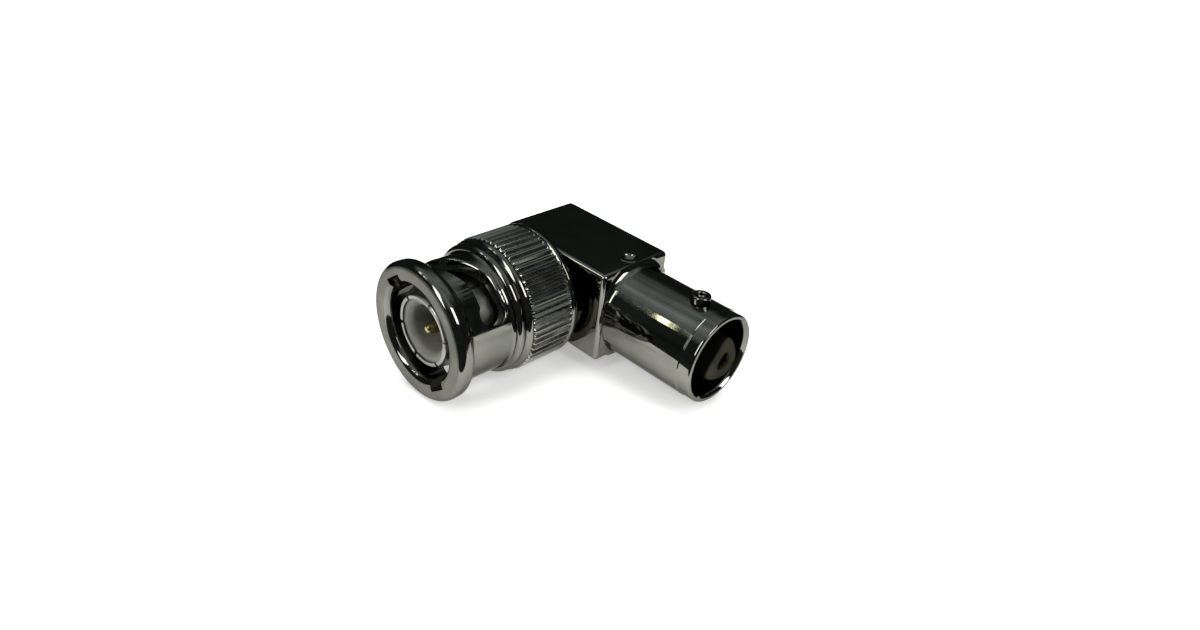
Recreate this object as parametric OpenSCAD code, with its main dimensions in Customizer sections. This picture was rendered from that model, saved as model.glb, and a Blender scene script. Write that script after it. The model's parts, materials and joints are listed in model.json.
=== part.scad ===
// Right-angle bayonet coax adapter. A square elbow block carries a jack barrel with two
// bayonet lugs on one arm, and a plug with a quarter-turn coupling nut on the other.
// The plug faces -Y and the jack faces +X. The part lies as it rests on a table, on its
// nut and its lower lug, and the origin is under the middle of its box.

/* [Elbow block] */
// Plug axis to the closed end of the block
block_end = 5.8; // [5:0.1:7]
// Plug axis to the shoulder where the jack barrel leaves the block
jack_shoulder = 9.1; // [8.8:0.1:12]
// Jack axis to the face that the plug stands on
plug_face = 4.6; // [4.5:0.05:5.6]
// Jack axis to the back face
block_back = 5; // [4.5:0.1:6]
// Height of the block
block_h = 10.2; // [9.8:0.1:12]
// Rounding of the block's edges
block_round = 0.4; // [0.2:0.05:0.8]
// Radius of the fillet between the jack barrel and the block
root_fillet = 1.2; // [0.6:0.1:1.6]
// Diameter of the punched stake mark on the block's top
stake_d = 1.7; // [1:0.1:2.4]
// Depth of the stake mark
stake_depth = 0.3; // [0.1:0.05:0.5]
// Stake mark's distance behind the jack shoulder
stake_setback = 1.4; // [1.4:0.1:3]
// Stake mark's distance from the jack axis, towards the back face
stake_offset = 0.4; // [0:0.1:1]

/* [Jack] */
// Length of the jack barrel from the block to its mouth
jack_l = 11.9; // [11:0.1:14]
// Outside diameter of the barrel
jack_d = 9.66; // [9.4:0.02:9.8]
// How much smaller in diameter the land at the mouth is
land_relief = 0.14; // [0.06:0.02:0.3]
// Length of the land at the mouth
land_l = 1.5; // [1:0.1:2]
// Bore that takes the plug's spring fingers
jack_bore_d = 8.12; // [8:0.02:8.3]
// Depth of that bore
jack_bore_depth = 9.2; // [8.6:0.1:10]
// Edge break at the mouth, inside and outside
mouth_break = 0.18; // [0.05:0.01:0.22]
// Diameter of the bayonet lugs
lug_d = 1.95; // [1.7:0.05:2.1]
// Distance across the tips of the two lugs
lug_span = 11.4; // [10.6:0.05:11.6]
// Mouth to the lugs' axis
lug_setback = 3.45; // [3.2:0.05:5.2]
// Edge break on the lugs' tips
lug_break = 0.15; // [0.05:0.05:0.25]
// Diameter of the dish in the lugs' tips
lug_dish_d = 0.9; // [0.5:0.1:1.2]
// Depth of that dish
lug_dish_depth = 0.5; // [0.2:0.1:0.8]

/* [Jack insulator and socket] */
// Bore in the block that holds the jack insulator
core_bore_d = 7; // [6.4:0.1:7.2]
// How far the core bore runs past the plug axis
core_end = 2.6; // [2:0.1:3.4]
// Diameter of the insulator's tower
tower_d = 4.7; // [4.4:0.05:4.8]
// Mouth to the tower's face
tower_setback = 3.3; // [2.8:0.1:4.5]
// Gap between the plug's shank and the insulator's rear end
core_gap = 0.3; // [0.1:0.05:1]
// Diameter of the socket contact
socket_d = 1.9; // [1.8:0.05:2.4]
// Diameter of the socket's hole
socket_bore_d = 1.42; // [1.38:0.01:1.5]
// Depth of the socket's hole
socket_bore_depth = 6.2; // [5:0.1:7]
// Tower face to the socket's tip
socket_setback = 0.2; // [0.1:0.05:0.6]
// Width of the slits that make the socket springy
socket_slit = 0.25; // [0.15:0.05:0.4]
// Length of those slits
socket_slit_l = 3.6; // [2:0.1:4.5]
// How far the socket runs past the plug axis
socket_tail = 1.5; // [1.2:0.1:2]

/* [Plug] */
// Nut's front to the tips of the spring fingers
finger_setback = 0.8; // [0.3:0.1:1.2]
// Outside diameter of the spring fingers
finger_d = 8.1; // [7.9:0.02:8.1]
// Bore of the sleeve, which holds the plug insulator
sleeve_bore_d = 6.9; // [6.7:0.05:7.1]
// Least wall of the sleeve around that bore
sleeve_wall = 0.5; // [0.4:0.05:0.6]
// Number of slits between the fingers
finger_slits = 6; // [4:1:8]
// Width of the slits
finger_slit = 0.35; // [0.2:0.05:0.5]
// Length of the slits
finger_slit_l = 6; // [4:0.1:7]
// Rounding of the finger tips
finger_round = 0.2; // [0.05:0.05:0.25]
// Turn of the first slit from the top
slit_turn = 20; // [0:1:60]
// Diameter of the sleeve's shank
shank_d = 8.4; // [8.2:0.05:8.8]
// How far the shank is pressed into the block
shank_seat = 2.4; // [1.6:0.1:2.8]
// Diameter of the collar that carries the nut
collar_d = 11.1; // [10.8:0.05:11.4]
// Thickness of the collar
collar_l = 1; // [0.7:0.1:1.4]
// Finger tips to the insulator's face
insulator_setback = 0.25; // [0.1:0.05:0.6]
// Diameter of the hollow that takes the jack's tower
hollow_d = 4.9; // [4.85:0.05:5.2]
// Depth of that hollow
hollow_depth = 5.5; // [5:0.1:7]
// Bevel around the hollow's mouth
hollow_bevel = 0.45; // [0.2:0.05:0.6]
// Diameter of the centre pin
pin_d = 1.35; // [1.3:0.01:1.37]
// Nut's front to the pin's tip
pin_setback = 1.3; // [0.9:0.1:1.6]
// Length of the pin's taper at its tip
pin_taper = 0.8; // [0.4:0.1:1.2]
// Diameter of the pin's tail, which passes through the socket contact
pin_tail_d = 0.9; // [0.7:0.05:1]
// Thickness of the rubber gasket
gasket_l = 0.9; // [0.6:0.1:1.2]
// Outside diameter of the gasket
gasket_d = 10.5; // [10.2:0.1:10.8]

/* [Coupling nut] */
// Largest diameter of the nut
nut_d = 14.3; // [14.1:0.05:15]
// Length of the nut
nut_l = 15.2; // [15:0.1:16]
// Gap between the nut and the block
nut_gap = 0.8; // [0.4:0.05:1.2]
// Bore that slides over the jack
nut_bore_d = 9.84; // [9.82:0.01:9.95]
// Thickness of the front flange at its rim
flange_l = 1.6; // [1.2:0.1:1.8]
// Length of the slope behind the flange
flange_slope = 0.55; // [0.3:0.05:0.8]
// Rounding of the flange's front edge
flange_round = 0.75; // [0.3:0.05:0.9]
// Rounding of the flange's rear edge
nut_round = 0.4; // [0.2:0.05:0.5]
// Rounding that leads into the bore
lead_round = 0.8; // [0.2:0.05:0.9]
// Diameter of the neck
neck_d = 12.3; // [12:0.05:12.6]
// Length of the stepped shoulder between neck and knurl
shoulder_l = 2.1; // [1.2:0.1:2.4]
// Diameter of the bead on that shoulder
bead_d = 13.6; // [13.2:0.1:13.8]
// Length of the knurl
knurl_l = 5; // [3.5:0.1:5.2]
// Number of knurl teeth
knurl_teeth = 60; // [48:1:72]
// Depth of the knurl
knurl_depth = 0.28; // [0.15:0.01:0.35]
// Length of the smooth band behind the knurl
band_l = 1.1; // [1:0.1:2.1]
// Rounding of that band's rear edge
band_round = 0.9; // [0.3:0.05:0.95]
// Distance across the two keyways
keyway_span = 11.7; // [11.4:0.05:11.8]
// Width of the keyways
keyway_w = 2.3; // [2.2:0.05:2.5]
// Turn of the first keyway from the top, clockwise from the front
keyway_turn = -37; // [-90:1:90]
// Width of the cam slots
slot_w = 2.3; // [2.12:0.01:2.4]
// Nut's front to the start of the cam ramp
ramp_setback = 3; // [2.65:0.05:3.1]
// Angle that the ramp takes up
ramp_angle = 63; // [50:1:70]
// Nut's front to the level stretch of the slot
slot_setback = 5.3; // [5.2:0.05:5.9]
// Diameter of the lock pocket
lock_d = 2.8; // [2.5:0.05:3]
// Angle from a keyway to its lock pocket
lock_angle = 96; // [90:1:105]
// How far forward of the slot the lock pocket lies
lock_step = 0.1; // [0.05:0.05:0.4]

/* [Spring stack] */
// Height of the wave washer at rest
spring_l = 0.9; // [0.8:0.05:1]
// Thickness of the wave washer's strip
wave_t = 0.25; // [0.15:0.05:0.3]
// Number of waves
waves = 3; // [2:1:4]
// Thickness of the thrust washer
washer_l = 0.4; // [0.3:0.05:0.5]
// Thickness of the retaining ring
ring_l = 0.7; // [0.5:0.05:0.8]
// How far the retaining ring reaches into its groove in the nut
ring_grip = 0.45; // [0.3:0.05:0.5]
// Least wall of the nut outside that groove
groove_wall = 0.3; // [0.2:0.05:0.6]
// How far the retaining ring reaches inwards under the thrust washer
ring_reach = 0.8; // [0.5:0.05:1]
// Opening of the retaining ring
ring_opening = 30; // [15:1:60]
// Nut's rear to the retaining ring
ring_depth = 2; // [1.6:0.1:2.2]

/* [Clearances] */
// Radial running gap between the nut and the collar, and around the washers
running_gap = 0.2; // [0.1:0.01:0.25]
// Gap between faces that slide on each other
face_gap = 0.02; // [0.01:0.01:0.05]
// Gap between the nut's inner shoulder and the gasket
stop_gap = 0.05; // [0.02:0.01:0.1]
// Radial gap of seated pieces
seat_gap = 0.01; // [0.01:0.005:0.03]

/* [Hidden] */
$fn = 64;

nickel = [0.46, 0.46, 0.43];
nickel_dark = [0.33, 0.33, 0.32];
gold = [0.83, 0.66, 0.25];
white_plastic = [0.86, 0.86, 0.8];
black_rubber = [0.08, 0.08, 0.08];
spring_steel = [0.62, 0.62, 0.6];

// Extra length that carries a cut through a face
past = 1;

// Distances along the jack axis, from the plug axis
jack_mouth = jack_shoulder + jack_l;
jack_floor = jack_mouth - jack_bore_depth;
land_start = jack_mouth - land_l;
lug_x = jack_mouth - lug_setback;
tower_face = jack_mouth - tower_setback;
socket_tip = tower_face - socket_setback;
stake_x = jack_shoulder - stake_setback;
land_d = jack_d - land_relief;

// Distances along the plug axis, from the jack axis
nut_rear = plug_face + nut_gap;
nut_front = nut_rear + nut_l;
knurl_rear = nut_rear + band_l;
knurl_front = knurl_rear + knurl_l;
neck_rear = knurl_front + shoulder_l;
flange_rear = nut_front - flange_l;
ring_rear = nut_rear + ring_depth;
ring_front = ring_rear + ring_l;
washer_rear = ring_front + face_gap;
washer_front = washer_rear + washer_l;
collar_rear = washer_front + spring_l;
collar_front = collar_rear + collar_l;
gasket_front = collar_front + gasket_l;
nut_shoulder = gasket_front + stop_gap;
finger_tip = nut_front - finger_setback;
insulator_face = finger_tip - insulator_setback;
pin_tip = nut_front - pin_setback;
shank_end = plug_face - shank_seat;

// Radii of the sleeve, which keeps its least wall, and what fits around the shank
finger_r = max(finger_d / 2, sleeve_bore_d / 2 + sleeve_wall);
shank_r = max(shank_d / 2, finger_r);
washer_inner_r = shank_r + running_gap;
core_start = shank_r + core_gap;

// Radii of the nut, whose groove leaves a wall under the knurl, and its edges' roundings
chamber_r = collar_d / 2 + running_gap;
knurl_root_r = nut_d / 2 - knurl_depth;
groove_r = min(chamber_r + ring_grip, knurl_root_r - groove_wall);
bead_r = min(bead_d / 2, nut_d / 2 - seat_gap);
rim_round = min(nut_round, (flange_l - flange_round) / 2);
rear_round = min(band_round, nut_d / 2 - chamber_r - 2 * mouth_break);

// The part tips about the plug axis until the lower lug's tip meets the table
lug_foot_x = lug_x + lug_d / 2 - lug_break;
lug_foot_z = lug_span / 2;
rest_tilt = asin(nut_d / 2 / norm([lug_foot_x, lug_foot_z])) - atan2(lug_foot_z, lug_foot_x);

// Middle of the box of the resting part
mouth_top_r = land_d / 2 - mouth_break;
reach_x = jack_mouth * cos(rest_tilt) + mouth_top_r * sin(rest_tilt);
middle_x = (reach_x - nut_d / 2) / 2;
middle_y = (block_back - nut_front) / 2;

// Points on an arc about c, from angle a0 to a1
function arc(c, r, a0, a1, steps = 6) =
    [for (i = [0:steps]) c + r * [cos(a0 + (a1 - a0) * i / steps), sin(a0 + (a1 - a0) * i / steps)]];

// Outline of a rectangle between two corners, with round corners
function rounded_outline(low, high, r) = concat(
    arc([high.x - r, high.y - r], r, 0, 90),
    arc([low.x + r, high.y - r], r, 90, 180),
    arc([low.x + r, low.y + r], r, 180, 270),
    arc([high.x - r, low.y + r], r, 270, 360)
);

// Puts what is built about the two axes where it rests on the table
module at_rest() {
    translate([-middle_x, -middle_y, nut_d / 2])
        rotate([0, rest_tilt, 0])
            children();
}

// Turns +Z to the jack's way out
module along_jack() {
    rotate([0, 90, 0])
        children();
}

// Turns +Z to the plug's way out, with +X and the top kept
module along_plug() {
    rotate([90, 0, 0])
        children();
}

// Bar with the block's cross-section, along the jack axis
module block_bar(length) {
    rotate([90, 0, 90])
        linear_extrude(length, center = true)
            polygon(rounded_outline([-plug_face, -block_h / 2], [block_back, block_h / 2], block_round));
}

// Elbow block with all its edges rounded
module block_solid() {
    span = 4 * (block_end + jack_shoulder);
    plan = rounded_outline([-block_end, -plug_face], [jack_shoulder, block_back], block_round);
    side = rounded_outline([-block_end, -block_h / 2], [jack_shoulder, block_h / 2], block_round);
    intersection() {
        linear_extrude(span, center = true)
            polygon(plan);
        rotate([90, 0, 0])
            linear_extrude(span, center = true)
                polygon(side);
        block_bar(span);
    }
}

// Jack barrel with its turned land, before boring
module barrel_solid() {
    along_jack()
        rotate_extrude()
            polygon([
                [0, jack_shoulder - block_round],
                [jack_d / 2, jack_shoulder - block_round],
                [jack_d / 2, land_start],
                [land_d / 2, land_start],
                [land_d / 2, jack_mouth - mouth_break],
                [land_d / 2 - mouth_break, jack_mouth],
                [0, jack_mouth]
            ]);
}

// Turned fillet at the barrel's root, which fades out at the block's sides
module root_solid() {
    inner_r = jack_d / 2 - past;
    intersection() {
        translate([jack_shoulder, 0, 0])
            along_jack()
                rotate_extrude()
                    polygon(concat(
                        [[inner_r, root_fillet]],
                        arc([jack_d / 2 + root_fillet, root_fillet], root_fillet, 180, 270),
                        [[jack_d / 2 + root_fillet, -block_round]],
                        [[inner_r, -block_round]]
                    ));
        block_bar(4 * jack_mouth);
    }
}

// Bores of the jack, from the mouth to the elbow's middle
module jack_bores() {
    along_jack()
        rotate_extrude()
            polygon([
                [0, -core_end],
                [core_bore_d / 2, -core_end],
                [core_bore_d / 2, jack_floor],
                [jack_bore_d / 2, jack_floor],
                [jack_bore_d / 2, jack_mouth - mouth_break],
                [jack_bore_d / 2 + mouth_break, jack_mouth],
                [jack_bore_d / 2 + mouth_break, jack_mouth + past],
                [0, jack_mouth + past]
            ]);
}

// Stepped bore that the plug's shank is pressed into
module plug_bores() {
    along_plug()
        cylinder(d = sleeve_bore_d, h = plug_face);
    along_plug()
        translate([0, 0, shank_end - face_gap])
            cylinder(r = shank_r + seat_gap, h = shank_seat + past);
}

module elbow_body() {
    color(nickel)
        at_rest()
            difference() {
                union() {
                    block_solid();
                    barrel_solid();
                    root_solid();
                }
                jack_bores();
                plug_bores();
                translate([lug_x, 0, 0])
                    cylinder(d = lug_d + 2 * seat_gap, h = jack_d + past, center = true);
                translate([stake_x, stake_offset, block_h / 2 - stake_depth])
                    cylinder(d1 = stake_d / 2, d2 = stake_d, h = stake_depth + face_gap);
            }
}

// Dished pin, built along +Z from the wall of the jack's bore
module lug() {
    tip = lug_span / 2;
    rotate_extrude()
        polygon([
            [0, jack_bore_d / 2 + seat_gap],
            [lug_d / 2, jack_bore_d / 2 + seat_gap],
            [lug_d / 2, tip - lug_break],
            [lug_d / 2 - lug_break, tip],
            [lug_dish_d / 2, tip],
            [lug_dish_d / 2, tip - lug_dish_depth],
            [0, tip - lug_dish_depth]
        ]);
}

module bayonet_lug_upper() {
    color(nickel)
        at_rest()
            translate([lug_x, 0, 0])
                lug();
}

module bayonet_lug_lower() {
    color(nickel)
        at_rest()
            translate([lug_x, 0, 0])
                rotate([180, 0, 0])
                    lug();
}

module jack_insulator() {
    bore_r = socket_d / 2 + seat_gap;
    core_r = core_bore_d / 2 - seat_gap;
    color(white_plastic)
        at_rest()
            along_jack()
                rotate_extrude()
                    polygon([
                        [bore_r, core_start],
                        [core_r, core_start],
                        [core_r, jack_floor],
                        [tower_d / 2, jack_floor],
                        [tower_d / 2, tower_face - mouth_break],
                        [tower_d / 2 - mouth_break, tower_face],
                        [bore_r, tower_face]
                    ]);
}

module jack_socket() {
    color(gold)
        at_rest()
            difference() {
                along_jack()
                    translate([0, 0, -socket_tail])
                        cylinder(d = socket_d, h = socket_tip + socket_tail);
                along_jack()
                    translate([0, 0, socket_tip - socket_bore_depth])
                        cylinder(d = socket_bore_d, h = socket_bore_depth + past);
                for (turn = [0, 90])
                    rotate([turn, 0, 0])
                        translate([socket_tip - socket_slit_l, -socket_d, -socket_slit / 2])
                            cube([socket_slit_l + past, 2 * socket_d, socket_slit]);
                rotate([90, 0, 0])
                    cylinder(d = pin_tail_d + 2 * seat_gap, h = 2 * socket_d, center = true);
            }
}

module plug_sleeve() {
    color(nickel_dark)
        at_rest()
            along_plug()
                difference() {
                    rotate_extrude()
                        polygon([
                            [sleeve_bore_d / 2, shank_end],
                            [shank_r, shank_end],
                            [shank_r, collar_rear],
                            [collar_d / 2, collar_rear],
                            [collar_d / 2, collar_front],
                            [shank_r, collar_front],
                            [shank_r, gasket_front],
                            [finger_r, gasket_front],
                            [finger_r, finger_tip - finger_round],
                            [finger_r - finger_round, finger_tip],
                            [sleeve_bore_d / 2, finger_tip]
                        ]);
                    for (i = [0:finger_slits - 1])
                        rotate([0, 0, 90 - slit_turn - i * 360 / finger_slits])
                            translate([0, -finger_slit / 2, finger_tip - finger_slit_l])
                                cube([2 * finger_r, finger_slit, finger_slit_l + past]);
                }
}

module plug_insulator() {
    bore_r = pin_d / 2 + seat_gap;
    color(white_plastic)
        at_rest()
            along_plug()
                rotate_extrude()
                    polygon([
                        [bore_r, shank_end],
                        [sleeve_bore_d / 2 - seat_gap, shank_end],
                        [sleeve_bore_d / 2 - seat_gap, insulator_face],
                        [hollow_d / 2 + hollow_bevel, insulator_face],
                        [hollow_d / 2, insulator_face - hollow_bevel],
                        [hollow_d / 2, insulator_face - hollow_depth],
                        [bore_r, insulator_face - hollow_depth]
                    ]);
}

module plug_pin() {
    tip_r = pin_d / 4;
    color(gold)
        at_rest()
            along_plug()
                rotate_extrude()
                    polygon([
                        [0, -socket_d / 2],
                        [pin_tail_d / 2, -socket_d / 2],
                        [pin_tail_d / 2, shank_end],
                        [pin_d / 2, shank_end],
                        [pin_d / 2, pin_tip - pin_taper],
                        [tip_r, pin_tip],
                        [0, pin_tip]
                    ]);
}

module gasket() {
    color(black_rubber)
        at_rest()
            along_plug()
                translate([0, 0, collar_front])
                    difference() {
                        cylinder(d = gasket_d, h = gasket_l);
                        translate([0, 0, -past])
                            cylinder(r = shank_r + seat_gap, h = gasket_l + 2 * past);
                    }
}

// Thin ring that rises and falls in waves, swept as four corners around the shank
module wave_washer() {
    steps = 24 * waves;
    middle = (washer_front + collar_rear) / 2;
    swing = (spring_l - wave_t) / 2 - face_gap;
    inner_r = washer_inner_r;
    outer_r = collar_d / 2 - running_gap;
    half_t = wave_t / 2;
    strip = [[inner_r, half_t], [outer_r, half_t], [outer_r, -half_t], [inner_r, -half_t]];
    corners = [
        for (i = [0:steps - 1])
            let (turn = 360 * i / steps, level = middle + swing * cos(waves * turn))
                for (corner = strip)
                    [corner.x * cos(turn), corner.x * sin(turn), level + corner.y]
    ];
    sides = [
        for (i = [0:steps - 1])
            for (k = [0:3])
                let (a = 4 * i, b = 4 * ((i + 1) % steps), n = (k + 1) % 4)
                    for (side = [[b + k, b + n, a + n], [b + k, a + n, a + k]])
                        side
    ];
    color(spring_steel)
        at_rest()
            along_plug()
                polyhedron(corners, sides);
}

module thrust_washer() {
    color(spring_steel)
        at_rest()
            along_plug()
                translate([0, 0, washer_rear])
                    difference() {
                        cylinder(d = collar_d, h = washer_l);
                        translate([0, 0, -past])
                            cylinder(r = washer_inner_r, h = washer_l + 2 * past);
                    }
}

module retaining_ring() {
    inner_r = chamber_r - ring_reach;
    color(spring_steel)
        at_rest()
            along_plug()
                translate([0, 0, ring_rear])
                    rotate([0, 0, ring_opening / 2])
                        rotate_extrude(angle = 360 - ring_opening)
                            translate([inner_r, 0])
                                square([groove_r - seat_gap - inner_r, ring_l]);
}

// Half section of the nut, without its knurl
module nut_section() {
    r = nut_d / 2;
    bead_l = shoulder_l / 2;
    bead_round = bead_l / 2;
    bead_turn = 60;
    step_r = r - knurl_depth / 2;
    polygon(concat(
        arc([nut_bore_d / 2 + lead_round, nut_front - lead_round], lead_round, 180, 90),
        arc([r - flange_round, nut_front - flange_round], flange_round, 90, 0),
        arc([r - rim_round, flange_rear + rim_round], rim_round, 0, -90),
        [[neck_d / 2, flange_rear - flange_slope]],
        [[neck_d / 2, neck_rear]],
        arc([bead_r - bead_round, knurl_front + 1.5 * bead_l - bead_round / 2], bead_round, 90, -bead_turn),
        arc([step_r - bead_round, knurl_front + bead_round / 2], bead_round, bead_turn, 0, 3),
        [[knurl_root_r, knurl_front]],
        [[knurl_root_r, knurl_rear]],
        [[r, knurl_rear]],
        arc([r - rear_round, nut_rear + rear_round], rear_round, 0, -90),
        [[chamber_r + mouth_break, nut_rear]],
        [[chamber_r, nut_rear + mouth_break]],
        [[chamber_r, ring_rear - face_gap]],
        [[groove_r, ring_rear - face_gap]],
        [[groove_r, ring_front + face_gap]],
        [[chamber_r, ring_front + face_gap]],
        [[chamber_r, nut_shoulder]],
        [[nut_bore_d / 2, nut_shoulder]]
    ));
}

// Ring of straight knurl teeth, a little lower than the band behind them and sunk into the
// wall below
module knurl() {
    pitch = 360 / knurl_teeth;
    half_crest = pitch / 8;
    crest_r = nut_d / 2 - seat_gap;
    valley_r = knurl_root_r - seat_gap;
    translate([0, 0, knurl_rear - seat_gap])
        linear_extrude(knurl_l + 2 * seat_gap)
            difference() {
                polygon([
                    for (i = [0:knurl_teeth - 1])
                        for (flank = [[-pitch / 2, valley_r], [-half_crest, crest_r], [half_crest, crest_r]])
                            let (turn = i * pitch + flank[0])
                                flank[1] * [cos(turn), sin(turn)]
                ]);
                circle((groove_r + knurl_root_r) / 2);
            }
}

// Keyway, cam ramp, level slot and lock pocket for one lug. The slot turns clockwise
// from the front as it runs to the rear.
module bayonet_track() {
    ramp_steps = 7;
    ramp_front = nut_front - ramp_setback;
    slot_h = nut_front - slot_setback;
    inner_r = nut_bore_d / 4;
    step_arc = neck_d / 2 * ramp_angle / ramp_steps * PI / 180;
    step_fall = (ramp_front - slot_h) / ramp_steps;
    translate([inner_r, -keyway_w / 2, ramp_front])
        cube([keyway_span / 2 - inner_r, keyway_w, ramp_setback + past]);
    for (i = [0:ramp_steps])
        rotate([0, 0, -ramp_angle * i / ramp_steps])
            translate([inner_r + nut_d / 4, 0, ramp_front - step_fall * i])
                rotate([atan2(step_fall, step_arc), 0, 0])
                    cube([nut_d / 2, norm([step_arc, step_fall]) + slot_w / 4, slot_w], center = true);
    rotate([0, 0, -lock_angle])
        rotate_extrude(angle = lock_angle - ramp_angle)
            translate([inner_r, slot_h - slot_w / 2])
                square([nut_d / 2, slot_w]);
    rotate([0, 0, -lock_angle])
        translate([inner_r, 0, slot_h + lock_step])
            along_jack()
                cylinder(d = lock_d, h = nut_d / 2);
}

module coupling_nut() {
    color(nickel)
        at_rest()
            along_plug()
                difference() {
                    union() {
                        rotate_extrude()
                            nut_section();
                        knurl();
                    }
                    for (half_turn = [0, 180])
                        rotate([0, 0, 90 - keyway_turn + half_turn])
                            bayonet_track();
                }
}

elbow_body();
bayonet_lug_upper();
bayonet_lug_lower();
jack_insulator();
jack_socket();
plug_sleeve();
plug_insulator();
plug_pin();
gasket();
wave_washer();
thrust_washer();
retaining_ring();
coupling_nut();
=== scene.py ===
import json
import math

import bpy
from mathutils import Matrix, Vector


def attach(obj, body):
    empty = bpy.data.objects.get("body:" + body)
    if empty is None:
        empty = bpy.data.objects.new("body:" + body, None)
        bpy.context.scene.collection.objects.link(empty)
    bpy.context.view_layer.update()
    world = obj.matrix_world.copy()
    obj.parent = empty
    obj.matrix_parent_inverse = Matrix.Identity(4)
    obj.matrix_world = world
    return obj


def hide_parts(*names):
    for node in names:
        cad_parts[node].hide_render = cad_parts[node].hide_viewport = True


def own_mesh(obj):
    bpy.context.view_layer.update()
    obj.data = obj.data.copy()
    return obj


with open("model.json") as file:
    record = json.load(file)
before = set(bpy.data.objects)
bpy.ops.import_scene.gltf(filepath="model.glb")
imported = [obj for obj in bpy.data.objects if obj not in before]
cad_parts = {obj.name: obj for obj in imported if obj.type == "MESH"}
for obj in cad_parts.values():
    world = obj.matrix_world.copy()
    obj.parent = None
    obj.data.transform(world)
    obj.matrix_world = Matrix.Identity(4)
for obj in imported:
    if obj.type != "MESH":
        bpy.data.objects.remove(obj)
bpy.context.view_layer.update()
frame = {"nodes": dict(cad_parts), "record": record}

# Elbow body: a square block with a round jack barrel, machined from one piece of brass and
# plated with nickel. The plug's shank is pressed into its side and the core into its bore.
# Pieces are shaped in millimetres about the crossing of the two axes, then put to rest.
mounts = {mount["name"]: mount for mount in frame["record"]["mounts"]}
mouth_at = Vector(mounts["jack_barrel"]["pos_m"])
jack_way = Vector(mounts["jack_barrel"]["axis"])
plug_at = Vector(mounts["plug_nut"]["pos_m"])
jack_reach = (mouth_at.x - plug_at.x) / jack_way.x
rest_tilt = math.atan2(-jack_way.z, jack_way.x)
crossing = mouth_at - jack_way * jack_reach
at_rest = Matrix.Translation(crossing) @ Matrix.Rotation(rest_tilt, 4, "Y") @ Matrix.Scale(0.001, 4)
along_jack = Matrix.Rotation(math.radians(90), 4, "Y")
along_plug = Matrix.Rotation(math.radians(90), 4, "X")


def bench_box(node):
    """Lowest and highest corner of a CAD node on the bench, before it is put to rest."""
    to_bench = at_rest.inverted()
    points = [to_bench @ vertex.co for vertex in frame["nodes"][node].data.vertices]
    low = Vector([min(point[axis] for point in points) for axis in range(3)])
    high = Vector([max(point[axis] for point in points) for axis in range(3)])
    return low, high


def eased(outline, closed):
    """Points of an outline of (radius, length, easing) corners, with each corner rounded."""
    points = []
    for i, (radius, length, easing) in enumerate(outline):
        corner = Vector((radius, length))
        if easing == 0 or (not closed and i in (0, len(outline) - 1)):
            points.append(corner)
            continue
        before = Vector(outline[i - 1][:2]) - corner
        after = Vector(outline[(i + 1) % len(outline)][:2]) - corner
        reach = min(easing, 0.48 * before.length, 0.48 * after.length)
        start = corner + before.normalized() * reach
        end = corner + after.normalized() * reach
        for step in range(6):
            t = step / 5
            points.append(start * (1 - t) ** 2 + corner * 2 * t * (1 - t) + end * t * t)
    return points


def arc(middle, radius, start, end, steps=9):
    """Outline points around a middle, from one angle to another."""
    turns = [math.radians(start + (end - start) * step / steps) for step in range(steps + 1)]
    return [(middle[0] + radius * math.cos(t), middle[1] + radius * math.sin(t), 0) for t in turns]


def pick(piece):
    """Makes a piece the only one that is selected and active."""
    bpy.ops.object.select_all(action="DESELECT")
    piece.select_set(True)
    bpy.context.view_layer.objects.active = piece


def put(piece, place):
    """Moves a piece by a matrix and writes its new place into its mesh."""
    pick(piece)
    piece.matrix_world = place @ piece.matrix_world
    bpy.ops.object.transform_apply(location=True, rotation=True, scale=True)


def drawn(name, outline, closed):
    """Draws half a section point by point, and leaves it selected in edit mode."""
    points = eased(outline, closed)
    bpy.ops.object.select_all(action="DESELECT")
    bpy.ops.mesh.primitive_plane_add(size=1)
    piece = bpy.context.object
    piece.name = name
    bpy.ops.object.mode_set(mode="EDIT")
    bpy.ops.mesh.select_all(action="SELECT")
    bpy.ops.mesh.merge(type="CENTER")
    bpy.ops.transform.translate(value=(points[0].x, 0, points[0].y))
    for start, end in zip(points, points[1:] + points[:1] * closed):
        step = {"value": (end.x - start.x, 0, end.y - start.y)}
        bpy.ops.mesh.extrude_vertices_move(TRANSFORM_OT_translate=step)
    bpy.ops.mesh.select_all(action="SELECT")
    return piece


def turned(name, outline, place, closed=False, steps=192):
    """Draws half a section and spins it, as on a lathe."""
    piece = drawn(name, outline, closed)
    bpy.ops.mesh.spin(steps=steps, angle=math.tau, center=(0, 0, 0), axis=(0, 0, 1))
    bpy.ops.mesh.select_all(action="SELECT")
    bpy.ops.mesh.remove_doubles(threshold=0.001)
    bpy.ops.mesh.normals_make_consistent(inside=False)
    bpy.ops.object.mode_set(mode="OBJECT")
    put(piece, place)
    return piece


def bar(name, low, high, round_edges, along=None):
    """Square bar between two corners, with its edges rounded, or only those along one axis."""
    bpy.ops.object.select_all(action="DESELECT")
    bpy.ops.mesh.primitive_cube_add(size=1)
    piece = bpy.context.object
    piece.name = name
    size = Vector(high) - Vector(low)
    put(piece, Matrix.Translation((Vector(low) + Vector(high)) / 2) @ Matrix.Diagonal((*size, 1)))
    if round_edges:
        for edge in piece.data.edges:
            ends = [piece.data.vertices[i].co for i in edge.vertices]
            way = (ends[1] - ends[0]).normalized()
            edge.select = along is None or abs(way[along]) > 0.9
        bpy.ops.object.mode_set(mode="EDIT")
        bpy.ops.mesh.select_mode(type="EDGE")
        bpy.ops.mesh.bevel(offset=round_edges, segments=6)
        bpy.ops.mesh.select_mode(type="VERT")
        bpy.ops.object.mode_set(mode="OBJECT")
    return piece


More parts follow.
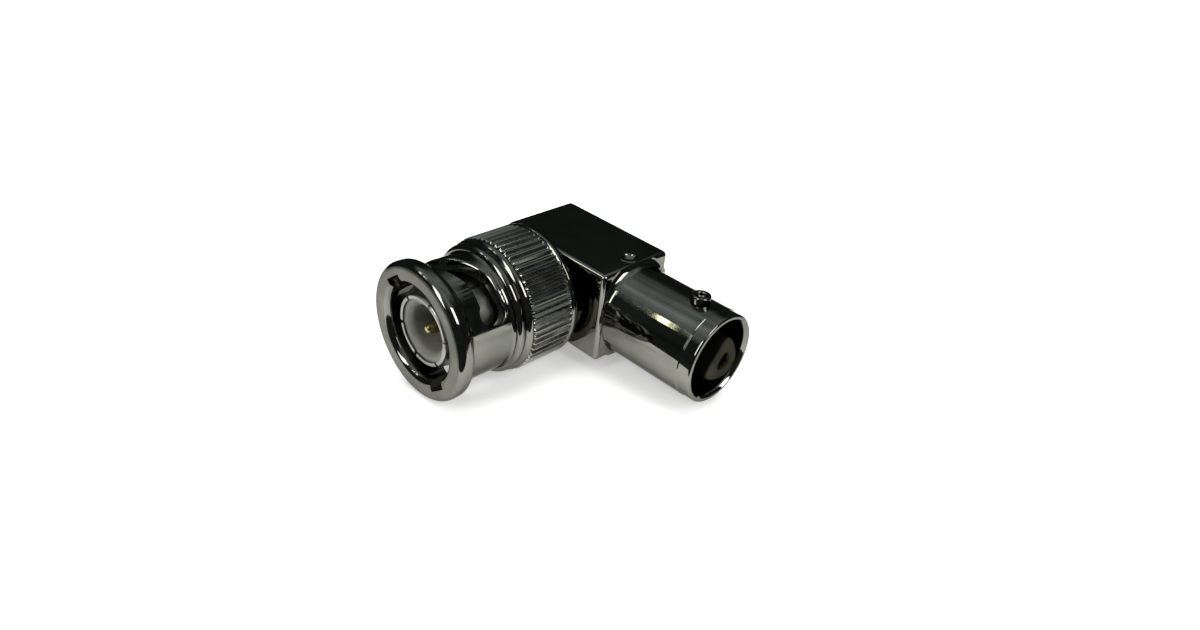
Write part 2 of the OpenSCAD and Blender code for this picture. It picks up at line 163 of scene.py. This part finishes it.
def combine(piece, tool, operation):
    """Joins a tool to a piece, or cuts it away, and puts the tool aside for good."""
    pick(piece)
    bpy.ops.object.modifier_add(type="BOOLEAN")
    step = piece.modifiers[-1]
    step.operation = operation
    step.solver = "EXACT"
    step.object = tool
    bpy.ops.object.modifier_apply(modifier=step.name)
    bpy.data.objects.remove(tool)


def settle(piece, crease=32):
    """Smooths a finished piece up to its creases, keeps its flats flat and puts it to rest."""
    pick(piece)
    bpy.ops.object.mode_set(mode="EDIT")
    bpy.ops.mesh.select_all(action="SELECT")
    bpy.ops.mesh.remove_doubles(threshold=0.002)
    bpy.ops.object.mode_set(mode="OBJECT")
    put(piece, at_rest)
    bpy.ops.object.shade_smooth_by_angle(angle=math.radians(crease))
    bpy.ops.object.modifier_add(type="WEIGHTED_NORMAL")
    piece.modifiers[-1].keep_sharp = True
    bpy.ops.object.modifier_apply(modifier=piece.modifiers[-1].name)


def finish_nodes(name):
    """New material with its node tree, its shader and a source of object coordinates."""
    material = bpy.data.materials.new(name)
    material.use_nodes = True
    tree = material.node_tree
    place = tree.nodes.new("ShaderNodeTexCoord").outputs["Object"]
    return material, tree, tree.nodes["Principled BSDF"], place


def speckle(tree, place, stretch, detail=3):
    """Noise over the piece, with so many waves per metre along each axis."""
    mapping = tree.nodes.new("ShaderNodeMapping")
    mapping.inputs["Scale"].default_value = stretch
    noise = tree.nodes.new("ShaderNodeTexNoise")
    noise.inputs["Scale"].default_value = 1
    noise.inputs["Detail"].default_value = detail
    tree.links.new(place, mapping.inputs["Vector"])
    tree.links.new(mapping.outputs["Vector"], noise.inputs["Vector"])
    return noise.outputs["Fac"]


def ramp(tree, value, low, high, from_colour, to_colour):
    """Colour that runs from one to the other as a value goes from low to high."""
    node = tree.nodes.new("ShaderNodeValToRGB")
    node.color_ramp.elements[0].position = low
    node.color_ramp.elements[0].color = (*from_colour, 1)
    node.color_ramp.elements[1].position = high
    node.color_ramp.elements[1].color = (*to_colour, 1)
    tree.links.new(value, node.inputs["Fac"])
    return node.outputs["Color"]


def span(tree, value, low, high):
    """Noise stretched to run between two numbers."""
    node = tree.nodes.new("ShaderNodeMapRange")
    node.inputs["From Min"].default_value = 0.3
    node.inputs["From Max"].default_value = 0.7
    node.inputs["To Min"].default_value = low
    node.inputs["To Max"].default_value = high
    tree.links.new(value, node.inputs["Value"])
    return node.outputs["Result"]


def relief(tree, shader, height, depth, under=None):
    """Bump of so many metres on a shader, on top of the bump under it."""
    node = tree.nodes.new("ShaderNodeBump")
    node.inputs["Distance"].default_value = depth
    tree.links.new(height, node.inputs["Height"])
    if under is not None:
        tree.links.new(under, node.inputs["Normal"])
    tree.links.new(node.outputs["Normal"], shader.inputs["Normal"])
    return node.outputs["Normal"]


def nickel_plate(name, bright, dull, roughness, tool_marks, mark_depth):
    """Nickel plate with a cloudy tone, smudges in its polish, dents and fine tool marks."""
    material, tree, shader, place = finish_nodes(name)
    shader.inputs["Metallic"].default_value = 1
    shader.inputs["Specular Tint"].default_value = (0.45, 0.45, 0.45, 1)
    clouds = speckle(tree, place, (330, 330, 330), 4)
    tree.links.new(ramp(tree, clouds, 0.35, 0.65, dull, bright), shader.inputs["Base Color"])
    smudges = speckle(tree, place, (900, 900, 900), 5)
    tree.links.new(span(tree, smudges, *roughness), shader.inputs["Roughness"])
    waves = relief(tree, shader, speckle(tree, place, (420, 420, 420), 2), 0.000005)
    relief(tree, shader, speckle(tree, place, tool_marks, 2), mark_depth, waves)
    return material


block_low, block_high = bench_box("elbow_body")
plug_side, block_ease = -4.6, 0.5
block_low.y = plug_side
jack_shoulder = 9.1
jack_mouth = block_high.x
block_high.x = jack_shoulder
jack_r = 4.83
land_r = 4.76
jack_bore_r = 4.06
jack_floor = 11.8

elbow = bar("elbow", block_low, block_high, block_ease)
fillet = 0.9
fillet_r = jack_r + fillet
root_outline = [
    (0, 8.5, 0), (4.6, 8.5, 0), (5.0, 8.7, 0), (5.4, 8.93, 0),
    *arc((fillet_r, jack_shoulder - 0.02 + fillet), fillet, 270, 180), (0, jack_shoulder + fillet, 0),
]
root = turned("root", root_outline, along_jack)
root_low = Vector((0, block_low.y + 0.35, block_low.z + 0.01))
root_high = Vector((14, block_high.y - 0.01, block_high.z - 0.01))
root_bar = bar("root_bar", root_low, root_high, block_ease, 0)
combine(root, root_bar, "INTERSECT")
combine(elbow, root, "UNION")
root_groove_r = 4.5
barrel_outline = [
    (0, 6.5, 0), (root_groove_r, 6.5, 0), (root_groove_r, jack_shoulder + 0.15, 0),
    (jack_r, jack_shoulder + 0.5, 0.2),
    (jack_r, jack_mouth - 1.5, 0.06), (land_r, jack_mouth - 1.44, 0.06),
    (land_r, jack_mouth, 0.26), (0, jack_mouth, 0),
]
combine(elbow, turned("barrel", barrel_outline, along_jack), "UNION")
core_bore_r, core_bore_end, mouth_ease = 3.5, -2.6, 0.3
jack_bores = [
    (0, core_bore_end, 0), (core_bore_r, core_bore_end, 0), (core_bore_r, jack_floor, 0),
    (jack_bore_r, jack_floor, 0), (jack_bore_r, jack_mouth - mouth_ease, 0.3),
    (jack_bore_r + mouth_ease, jack_mouth + 0.02, 0),
    (jack_bore_r + mouth_ease, jack_mouth + 1, 0), (0, jack_mouth + 1, 0),
]
combine(elbow, turned("jack_bores", jack_bores, along_jack), "DIFFERENCE")
pin_bore_r, shank_seat_r, shank_seat_end = 3.45, 4.21, 2.33
plug_bore = [
    (0, 0, 0), (pin_bore_r, 0, 0), (pin_bore_r, shank_seat_end, 0),
    (shank_seat_r, shank_seat_end, 0), (shank_seat_r, 6, 0), (0, 6, 0),
]
combine(elbow, turned("plug_bore", plug_bore, along_plug), "DIFFERENCE")

lug_low, lug_high = bench_box("bayonet_lug_upper")
lug_x = (lug_low.x + lug_high.x) / 2
lug_r = (lug_high.x - lug_low.x) / 2
lug_seat_r = lug_r + 0.01
lug_at = Matrix.Translation((lug_x, 0, 0))
lug_hole = [(0, -6, 0), (lug_seat_r, -6, 0), (lug_seat_r, 6, 0), (0, 6, 0)]
combine(elbow, turned("lug_hole", lug_hole, lug_at, steps=64), "DIFFERENCE")

stake_at = Matrix.Translation((7.7, 0.4, block_high.z))
stake_turn = Matrix.Rotation(math.radians(35), 4, "Z") @ Matrix.Translation((0, 0, -0.03))
bpy.ops.object.select_all(action="DESELECT")
bpy.ops.mesh.primitive_torus_add(
    major_radius=0.9, minor_radius=0.16, major_segments=48, minor_segments=12
)
stake_lip = bpy.context.object
bpy.ops.object.mode_set(mode="EDIT")
bpy.ops.mesh.select_all(action="SELECT")
bpy.ops.transform.resize(value=(1, 1, 0.7), center_override=(0, 0, 0))
bpy.ops.object.mode_set(mode="OBJECT")
combine(stake_lip, bar("stake_gap", (0.2, -0.5, -1), (2, 0.5, 1), 0.2, 2), "DIFFERENCE")
put(stake_lip, stake_at @ stake_turn)
combine(elbow, stake_lip, "UNION")
stake_pit = [(0, -0.3, 0), (0.45, -0.27, 0.2), (0.8, 0.02, 0.1), (0.86, 0.3, 0), (0, 0.3, 0)]
combine(elbow, turned("stake_pit", stake_pit, stake_at, steps=48), "DIFFERENCE")

nickel_body = nickel_plate(
    "nickel_body", (0.22, 0.218, 0.188), (0.18, 0.18, 0.157), (0.03, 0.075),
    (2600, 2600, 2600), 0.0000006,
)
settle(elbow)
elbow.data.materials.append(nickel_body)
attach(elbow, "adapter")
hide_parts("elbow_body")

# Bayonet lugs: two short nickel-plated pins, pressed through the barrel's wall on opposite
# sides and dished at the tip. A mating nut's cam slots catch them.
lug_tip = lug_high.z
lug_outline = [
    (0, lug_low.z, 0), (lug_r, lug_low.z, 0), (lug_r, lug_tip, 0.2),
    (0.5, lug_tip, 0.14), (0.4, lug_tip - 0.45, 0.15), (0, lug_tip - 0.5, 0),
]
for side, turn in (("upper", 0), ("lower", math.pi)):
    place = lug_at @ Matrix.Rotation(turn, 4, "X")
    lug = turned(f"lug_{side}", lug_outline, place, steps=64)
    settle(lug)
    lug.data.materials.append(nickel_body)
    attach(lug, "adapter")
    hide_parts(f"bayonet_lug_{side}")

# Jack insulator: a turned plastic core, pushed into the block's bore, whose tower stands in the
# jack and carries the socket contact.
core_low, core_high = bench_box("jack_insulator")
tower_r = 2.35
socket_r = 0.95
socket_seat_r = socket_r + 0.01
core_outline = [
    (socket_seat_r, core_low.x, 0), (core_high.z, core_low.x, 0), (core_high.z, jack_floor, 0.05),
    (tower_r, jack_floor, 0.15), (tower_r, core_high.x, 0.25), (socket_seat_r, core_high.x, 0.12),
]
jack_core = turned("jack_core", core_outline, along_jack, True, 128)


def white_plastic(name):
    """Turned white plastic, painted a dim olive grey as shade for its place deep in the bores. It lets
    a little light through and shows faint cutter lines.
    """
    material, tree, shader, place = finish_nodes(name)
    clouds = speckle(tree, place, (500, 500, 500), 4)
    # Dim olive grey is painted shade, for white plastic that sits in shadow inside the bores.
    tone = ramp(tree, clouds, 0.3, 0.7, (0.19, 0.19, 0.165), (0.235, 0.235, 0.205))
    tree.links.new(tone, shader.inputs["Base Color"])
    smudges = speckle(tree, place, (1500, 1500, 1500))
    tree.links.new(span(tree, smudges, 0.38, 0.55), shader.inputs["Roughness"])
    shader.inputs["Subsurface Weight"].default_value = 0.15
    shader.inputs["Subsurface Scale"].default_value = 0.0006
    relief(tree, shader, speckle(tree, place, (5000, 5000, 5000), 2), 0.000004)
    return material


white_insulator = white_plastic("white_insulator")
settle(jack_core)
jack_core.data.materials.append(white_insulator)
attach(jack_core, "adapter")
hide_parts("jack_insulator")

# Socket contact: a gold-plated tube with a closed tail, slit crosswise at its mouth so that it
# springs on a mating pin. The plug's pin is fixed in a cross hole of its tail.
socket_low, socket_high = bench_box("jack_socket")
socket_tip = socket_high.x
socket_bore_r, socket_slit_l, socket_slit_half, tail_hole_r = 0.71, 3.6, 0.125, 0.46
socket_outline = [
    (0, socket_low.x, 0), (socket_r, socket_low.x, 0.1), (socket_r, socket_tip, 0.1),
    (socket_bore_r, socket_tip, 0.1), (socket_bore_r, socket_tip - 6.2, 0.1), (0, socket_tip - 6.4, 0),
]
socket = turned("socket", socket_outline, along_jack, steps=64)
for wide in ((3, socket_slit_half), (socket_slit_half, 3)):
    slit_low = (socket_tip - socket_slit_l, -wide[0], -wide[1])
    slit = bar("socket_slit", slit_low, (socket_tip + 1, *wide), 0)
    combine(socket, slit, "DIFFERENCE")
tail_hole = [(0, -2, 0), (tail_hole_r, -2, 0), (tail_hole_r, 2, 0), (0, 2, 0)]
combine(socket, turned("tail_hole", tail_hole, along_plug, steps=32), "DIFFERENCE")


def gold_plate(name):
    """Thin gold plate over nickel, uneven in tone and polish."""
    material, tree, shader, place = finish_nodes(name)
    shader.inputs["Metallic"].default_value = 1
    clouds = speckle(tree, place, (900, 900, 900), 4)
    tone = ramp(tree, clouds, 0.3, 0.7, (0.27, 0.22, 0.085), (0.38, 0.32, 0.14))
    tree.links.new(tone, shader.inputs["Base Color"])
    smudges = speckle(tree, place, (2400, 2400, 2400))
    tree.links.new(span(tree, smudges, 0.15, 0.3), shader.inputs["Roughness"])
    relief(tree, shader, speckle(tree, place, (6000, 6000, 6000), 2), 0.000002)
    return material


gold_contact = gold_plate("gold_contact")
settle(socket)
socket.data.materials.append(gold_contact)
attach(socket, "adapter")
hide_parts("jack_socket")

# Plug sleeve: the plug's outer contact, turned from spring bronze and plated, with a collar for
# the nut and six slit fingers at its front. Its shank is pressed into the elbow.
sleeve_low, sleeve_high = bench_box("plug_sleeve")
finger_tip, shank_end, collar_r = -sleeve_low.y, -sleeve_high.y, sleeve_high.x
finger_r, finger_bore_r, shank_r = 4.05, 3.45, 4.2
collar_rear, collar_front, gasket_front = 9.42, 10.42, 11.32
tip_r, tip_bore_r, finger_slit_l, finger_slit_half = 3.68, 3.27, 6, 0.175
sleeve_outline = [
    (finger_bore_r, shank_end, 0.05), (shank_r, shank_end, 0.1), (shank_r, collar_rear, 0),
    (collar_r, collar_rear, 0.1), (collar_r, collar_front, 0.1), (shank_r, collar_front, 0),
    (shank_r, gasket_front, 0.1), (finger_r, gasket_front + 0.2, 0.1),
    (finger_r, finger_tip - 1.4, 0.6), (tip_r, finger_tip, 0.15), (tip_bore_r, finger_tip, 0.12),
    (tip_bore_r, finger_tip - 0.12, 0), (finger_bore_r, finger_tip - 0.24, 0),
]
sleeve = turned("sleeve", sleeve_outline, along_plug, True, 192)
for turn in (70, 10, -50):
    slit_low = (-6, -finger_slit_half, finger_tip - finger_slit_l)
    slit = bar("finger_slit", slit_low, (6, finger_slit_half, finger_tip + 1), 0)
    put(slit, along_plug @ Matrix.Rotation(math.radians(turn), 4, "Z"))
    combine(sleeve, slit, "DIFFERENCE")
# The sleeve's plate is paler than the other nickel parts. This is painted light, for the light that
# falls on it through the nut's slots.
nickel_sleeve = nickel_plate(
    "nickel_sleeve", (0.42, 0.42, 0.37), (0.3, 0.3, 0.27), (0.25, 0.45),
    (2600, 2600, 2600), 0.000003,
)
settle(sleeve)
sleeve.data.materials.append(nickel_sleeve)
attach(sleeve, "adapter")
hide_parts("plug_sleeve")

# Plug insulator: a turned plastic plug inside the fingers, with a round hollow that takes a
# jack's tower.
plug_core_low, plug_core_high = bench_box("plug_insulator")
core_face, core_rear = -plug_core_low.y, -plug_core_high.y
pin_r = 0.675
hollow_r, hollow_floor = 2.45, core_face - 5.5
pin_seat_r = pin_r + 0.01
plug_core_outline = [
    (pin_seat_r, core_rear, 0), (plug_core_high.x, core_rear, 0), (plug_core_high.x, core_face, 0.15),
    (hollow_r + 0.45, core_face, 0.2), (hollow_r, core_face - 0.45, 0.3),
    (hollow_r, hollow_floor, 0.25), (pin_seat_r, hollow_floor, 0),
]
plug_core = turned("plug_core", plug_core_outline, along_plug, True, 128)
settle(plug_core)
plug_core.data.materials.append(white_insulator)
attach(plug_core, "adapter")
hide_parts("plug_insulator")

# Centre pin: a gold-plated pin with a tapered, rounded tip, whose thin tail goes through the
# socket contact inside the elbow.
pin_low, pin_high = bench_box("plug_pin")
pin_tip, pin_tail = -pin_low.y, -pin_high.y
tail_r = 0.45
pin_outline = [
    (0, pin_tail, 0), (tail_r, pin_tail, 0), (tail_r, core_rear, 0), (pin_r, core_rear, 0),
    (pin_r, pin_tip - 0.8, 0.5), (0.36, pin_tip, 0.22), (0, pin_tip, 0),
]
pin = turned("pin", pin_outline, along_plug, steps=64)
settle(pin)
pin.data.materials.append(gold_contact)
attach(pin, "adapter")
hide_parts("plug_pin")

# Gasket: a black rubber ring on the sleeve, in front of the collar, which a mated jack presses
# on. The CAD ring stays.
black_rubber, tree, shader, place = finish_nodes("black_rubber")
rubber_bloom = speckle(tree, place, (800, 800, 800), 4)
rubber_tone = ramp(tree, rubber_bloom, 0.3, 0.7, (0.012, 0.012, 0.012), (0.03, 0.03, 0.028))
tree.links.new(rubber_tone, shader.inputs["Base Color"])
tree.links.new(span(tree, rubber_bloom, 0.55, 0.75), shader.inputs["Roughness"])
relief(tree, shader, speckle(tree, place, (6000, 6000, 6000), 2), 0.000006)
frame["nodes"]["gasket"].material_slots[0].material = black_rubber

# Spring stack: a wave washer, a flat thrust washer and a split retaining ring, all of spring
# steel, hidden in the nut's chamber. They hold the nut back on the plug, and the wave washer
# flattens against the collar as the nut is pulled forward. The CAD rings stay.
spring_steel, tree, shader, place = finish_nodes("spring_steel")
shader.inputs["Metallic"].default_value = 1
rolled = speckle(tree, place, (6000, 400, 400), 3)
rolled_tone = ramp(tree, rolled, 0.3, 0.7, (0.36, 0.36, 0.35), (0.48, 0.48, 0.46))
tree.links.new(rolled_tone, shader.inputs["Base Color"])
tree.links.new(span(tree, rolled, 0.22, 0.38), shader.inputs["Roughness"])
relief(tree, shader, rolled, 0.000003)
for ring in ("wave_washer", "thrust_washer", "retaining_ring"):
    frame["nodes"][ring].material_slots[0].material = spring_steel
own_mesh(frame["nodes"]["wave_washer"])

# Coupling nut: turned from brass bar, with a straight knurl rolled on and two cam slots milled
# through its neck, then plated. It turns on the plug's collar.
nut_low, nut_high = bench_box("coupling_nut")
nut_front, nut_rear, nut_r = -nut_low.y, -nut_high.y, nut_high.x
neck_r, nut_bore_r, chamber_r, groove_r = 6.15, 4.92, 5.75, 6.2
knurl_front, knurl_rear, knurl_teeth, knurl_r, knurl_depth = 11.5, 6.5, 60, nut_r - 0.01, 0.28
flange_rear, neck_front, neck_rear, bead_r = 19.0, 18.45, 13.6, 0.525
chamber_front, groove_front, groove_rear = 11.37, 8.12, 7.38
mouth_round, rim_round, rear_round = 0.8, 0.75, 0.9
nut_outline = [
    *arc((nut_bore_r + mouth_round, nut_front - mouth_round), mouth_round, 180, 90),
    *arc((nut_r - rim_round, nut_front - rim_round), rim_round, 90, 0),
    (nut_r, flange_rear, 0.4), (neck_r, neck_front, 0.25), (neck_r, neck_rear, 0.15),
    *arc((6.275, 12.81), bead_r, 90, -60), *arc((6.485, 11.76), bead_r, 60, 0, 5),
    (6.88, knurl_front + 0.05, 0), (knurl_r, knurl_front - 0.1, 0), (knurl_r, knurl_rear + 0.2, 0),
    (6.96, knurl_rear + 0.08, 0), (6.96, knurl_rear, 0), (nut_r - 0.04, knurl_rear - 0.1, 0.05),
    *arc((nut_r - rear_round, nut_rear + rear_round), rear_round, 0, -90),
    (chamber_r, nut_rear, 0.15), (chamber_r, groove_rear, 0), (groove_r, groove_rear, 0),
    (groove_r, groove_front, 0), (chamber_r, groove_front, 0),
    (chamber_r, chamber_front, 0), (nut_bore_r, chamber_front, 0),
]
nut = turned("nut", nut_outline, along_plug, True, 6 * knurl_teeth)


def knurl_ring(vertex):
    """Whether a vertex lies on one of the two rings between which the knurl is full."""
    out = math.hypot(vertex.co.x, vertex.co.z)
    level = min(abs(-vertex.co.y - knurl_front + 0.1), abs(-vertex.co.y - knurl_rear - 0.2))
    return abs(out - knurl_r) < 0.02 and level < 0.02


for places, depth in (((0, 5), knurl_depth), ((1, 4), knurl_depth / 2)):
    pick(nut)
    bpy.ops.object.mode_set(mode="EDIT")
    bpy.ops.mesh.select_all(action="DESELECT")
    bpy.ops.object.mode_set(mode="OBJECT")
    for vertex in nut.data.vertices:
        step = round(math.degrees(math.atan2(vertex.co.z, vertex.co.x))) % 6
        vertex.select = step in places and knurl_ring(vertex)
    bpy.ops.object.mode_set(mode="EDIT")
    narrower = 1 - depth / knurl_r
    bpy.ops.transform.resize(value=(narrower, 1, narrower), center_override=(0, 0, 0))
    bpy.ops.object.mode_set(mode="OBJECT")

keyway_turn, keyway_r, keyway_w = 127, 5.85, 2.3
ramp_start, ramp_turn, lock_turn = nut_front - 3, 63, 96
slot_level, slot_w, lock_r, lock_level = nut_front - 5.3, 2.3, 1.4, nut_front - 5.2
eased_edge = [(5.88, 0), (5.97, 0.02), (6.04, 0.06), (6.1, 0.12), (6.15, 0.22), (6.2, 0.3), (8.5, 0.3)]


def cam_slot(name):
    """Swept cutter for a cam slot, which falls from the keyway and then runs level."""
    upper = [(out, slot_w / 2 + wider, 0) for out, wider in [(2.5, 0), *eased_edge]]
    lower = [(out, -half, 0) for out, half, easing in reversed(upper)]
    piece = drawn(name, upper + lower, True)
    bpy.ops.mesh.remove_doubles(threshold=0.001)
    bpy.ops.mesh.edge_face_add()
    bpy.ops.transform.translate(value=(0, 0, ramp_start))
    ramp_steps, level_steps = 14, 8
    falls = [(ramp_turn / ramp_steps, (ramp_start - slot_level) / ramp_steps)] * ramp_steps
    falls += [((lock_turn - ramp_turn) / level_steps, 0)] * level_steps
    for turn, fall in falls:
        bpy.ops.mesh.extrude_region_move()
        bpy.ops.transform.rotate(value=math.radians(turn), orient_axis="Z", center_override=(0, 0, 0))
        bpy.ops.transform.translate(value=(0, 0, -fall))
    bpy.ops.mesh.select_all(action="SELECT")
    bpy.ops.mesh.normals_make_consistent(inside=False)
    bpy.ops.object.mode_set(mode="OBJECT")
    return piece


for half_turn in (0, 180):
    facing = along_plug @ Matrix.Rotation(math.radians(keyway_turn + half_turn), 4, "Z")
    keyway_high = (keyway_r, keyway_w / 2, nut_front + 1)
    keyway = bar("keyway", (2.5, -keyway_w / 2, ramp_start), keyway_high, 0.12, 2)
    cutters = [keyway, cam_slot("slot")]
    for turn, level, radius in ((0, ramp_start, slot_w / 2), (lock_turn, lock_level, lock_r)):
        end_edge = [(radius + wider, out, 0) for out, wider in eased_edge]
        end_outline = [(0, 2.5, 0), (radius, 2.5, 0), *end_edge, (0, 8.5, 0)]
        end_turn = Matrix.Rotation(math.radians(-turn), 4, "Z")
        end_place = end_turn @ Matrix.Translation((0, 0, level)) @ along_jack
        cutters.append(turned("slot_end", end_outline, end_place, steps=64))
    for cutter in cutters:
        put(cutter, facing)
        combine(nut, cutter, "DIFFERENCE")

nickel_nut = nickel_plate(
    "nickel_nut", (0.21, 0.208, 0.18), (0.17, 0.17, 0.148), (0.05, 0.12),
    (300, 9000, 300), 0.0000008,
)
tree = nickel_nut.node_tree
shader = tree.nodes["Principled BSDF"]
along = tree.nodes.new("ShaderNodeSeparateXYZ")
tree.links.new(tree.nodes["Texture Coordinate"].outputs["Object"], along.inputs["Vector"])


def duller_between(rear, front, more):
    """Makes a stretch of the nut rougher, and gives the mask of that stretch."""
    within = tree.nodes.new("ShaderNodeMath")
    within.operation = "COMPARE"
    within.inputs[1].default_value = crossing.y - (front + rear) / 2000
    within.inputs[2].default_value = (front - rear) / 2000
    tree.links.new(along.outputs["Y"], within.inputs[0])
    rougher = tree.nodes.new("ShaderNodeMath")
    rougher.operation = "MULTIPLY_ADD"
    rougher.inputs[1].default_value = more
    tree.links.new(within.outputs["Value"], rougher.inputs[0])
    tree.links.new(shader.inputs["Roughness"].links[0].from_socket, rougher.inputs[2])
    tree.links.new(rougher.outputs["Value"], shader.inputs["Roughness"])
    return within.outputs["Value"]


duller_between(nut_front - 0.08, nut_front + 0.1, 0.34)
# The knurl's base colour is mixed to a paler grey, a painted sheen for the light its many teeth catch.
# The same stretch is also made rougher.
paler = tree.nodes.new("ShaderNodeMix")
paler.data_type = "RGBA"
paler.inputs[7].default_value = (0.32, 0.32, 0.283, 1)
tree.links.new(duller_between(knurl_rear, knurl_front, 0.12), paler.inputs[0])
tree.links.new(shader.inputs["Base Color"].links[0].from_socket, paler.inputs[6])
tree.links.new(paler.outputs[2], shader.inputs["Base Color"])
settle(nut)
nut.data.materials.append(nickel_nut)
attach(nut, "nut")
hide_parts("coupling_nut")

# Floor: a plain white card, turned to face the camera and a little larger than the part. It
# glows faintly, so that the shadows on it stay pale.
bpy.ops.object.select_all(action="DESELECT")
bpy.ops.mesh.primitive_plane_add(size=1)
floor = bpy.context.object
floor.name = "floor"
card_middle, card_size = (-0.02275, -0.015, 0), (0.0745, 0.11, 1, 1)
card_turn = Matrix.Rotation(math.radians(-46), 4, "Z")
put(floor, card_turn @ Matrix.Translation(card_middle) @ Matrix.Diagonal(card_size))
white_floor, tree, shader, place = finish_nodes("white_floor")
shader.inputs["Roughness"].default_value = 0.9
shader.inputs["Emission Color"].default_value = (1, 1, 1, 1)
shader.inputs["Emission Strength"].default_value = 0.36
floor_clouds = speckle(tree, place, (40, 40, 40))
floor_tone = ramp(tree, floor_clouds, 0.3, 0.7, (0.84, 0.84, 0.84), (0.87, 0.87, 0.87))
tree.links.new(floor_tone, shader.inputs["Base Color"])
floor.data.materials.append(white_floor)

# Light: a broad light from above and a fill for the jack's bore, neither of them mirrored in the
# metal, soft boxes in front and to the right, a lamp for the block's edge and two narrow warm
# lamps. The room is dim, but paler overhead, and the backdrop behind the part is pale.
bpy.context.scene.view_settings.view_transform = "Standard"
world = bpy.context.scene.world or bpy.data.worlds.new("room")
bpy.context.scene.world = world
world.use_nodes = True
room = world.node_tree
way_out = room.nodes.new("ShaderNodeTexCoord").outputs["Generated"]
upward = room.nodes.new("ShaderNodeSeparateXYZ")
room.links.new(way_out, upward.inputs["Vector"])
ceiling = room.nodes.new("ShaderNodeMapRange")
ceiling.interpolation_type = "SMOOTHSTEP"
ceiling.inputs["From Min"].default_value = 0.6
ceiling.inputs["From Max"].default_value = 0.9
ceiling.inputs["To Min"].default_value = 0.04
ceiling.inputs["To Max"].default_value = 0.5
room.links.new(upward.outputs["Z"], ceiling.inputs["Value"])
patches = span(room, speckle(room, way_out, (3, 3, 3), 4), 0.4, 1.4)
uneven = room.nodes.new("ShaderNodeMath")
uneven.operation = "MULTIPLY"
room.links.new(ceiling.outputs["Result"], uneven.inputs[0])
room.links.new(patches, uneven.inputs[1])
dim_room = room.nodes["Background"]
dim_room.inputs["Color"].default_value = (0.86, 0.98, 1, 1)
room.links.new(uneven.outputs["Value"], dim_room.inputs["Strength"])
backdrop = room.nodes.new("ShaderNodeBackground")
backdrop.inputs["Color"].default_value = (1, 1, 1, 1)
backdrop.inputs["Strength"].default_value = 1.3
seen = room.nodes.new("ShaderNodeLightPath")
either = room.nodes.new("ShaderNodeMixShader")
room.links.new(seen.outputs["Is Camera Ray"], either.inputs["Fac"])
room.links.new(dim_room.outputs["Background"], either.inputs[1])
room.links.new(backdrop.outputs["Background"], either.inputs[2])
room.links.new(either.outputs["Shader"], room.nodes["World Output"].inputs["Surface"])

bpy.ops.object.light_add(type="SUN", rotation=(math.radians(-14), math.radians(-12), 0))
tent = bpy.context.object
tent.name = "tent"
tent.data.energy = 2.6
tent.data.angle = math.radians(70)
tent.visible_glossy = False


def lamp(name, aim, azimuth, elevation, size, colour, brightness):
    """Flat lamp 0.4 m from a point of the part, with its first side along the jack's axis."""
    azimuth, elevation = math.radians(azimuth), math.radians(elevation)
    level = math.cos(elevation)
    way = Vector((math.sin(azimuth) * level, -math.cos(azimuth) * level, math.sin(elevation)))
    across = (jack_way - way * jack_way.dot(way)).normalized()
    bpy.ops.object.light_add(type="AREA", location=at_rest @ Vector(aim) + way * 0.4)
    light = bpy.context.object
    light.name = name
    light.rotation_euler = Matrix((across, way.cross(across), way)).transposed().to_euler()
    light.data.shape = "RECTANGLE"
    light.data.size, light.data.size_y = size
    light.data.color = colour
    light.data.energy = brightness * math.pi * size[0] * size[1]
    return light


lamp("lamp_left", (16.2, -3.51, 3.32), -38.4, 44.1, (0.009, 0.08), (1, 0.97, 0.66), 9)
lamp("lamp_right", (20.79, -3.53, 3.29), -34.3, 44.5, (0.006, 0.08), (1, 1, 0.6), 7)
lamp("edge_lamp", (6, -4.6, 5.1), -48.5, 43.4, (0.03, 0.1), (1, 1, 1), 4)
lamp("front_box", (0, -13, 5), 0, 36, (0.12, 0.26), (1, 1, 0.97), 6.5)
lamp("jack_fill", (21, 0, 0), 84, 14, (0.14, 0.14), (1, 1, 0.85), 9).visible_glossy = False
lamp("side_box", (9.4, -2.4, 4.5), 95, 38, (0.18, 0.18), (1, 1, 1), 6)

# Camera: near the part, above it and between its two ends, as in the photo, and rolled a little
# about the line of sight.
view_azimuth = math.radians(43.203)
view_elevation = math.radians(28.871)
view_roll = math.radians(2.644)
view_distance = 0.084112
look_at = Vector((0.002441, 0.002695, 0.007533))
view_level = math.cos(view_elevation)
back = Vector((
    math.sin(view_azimuth) * view_level, -math.cos(view_azimuth) * view_level, math.sin(view_elevation)
))
bpy.ops.object.camera_add(location=look_at + back * view_distance)
camera = bpy.context.object
facing_part = back.to_track_quat("Z", "Y").to_matrix()
camera.rotation_euler = (facing_part @ Matrix.Rotation(view_roll, 3, "Z")).to_euler()
camera.data.lens = 25.22
camera.data.clip_start = 0.001
bpy.context.scene.camera = camera
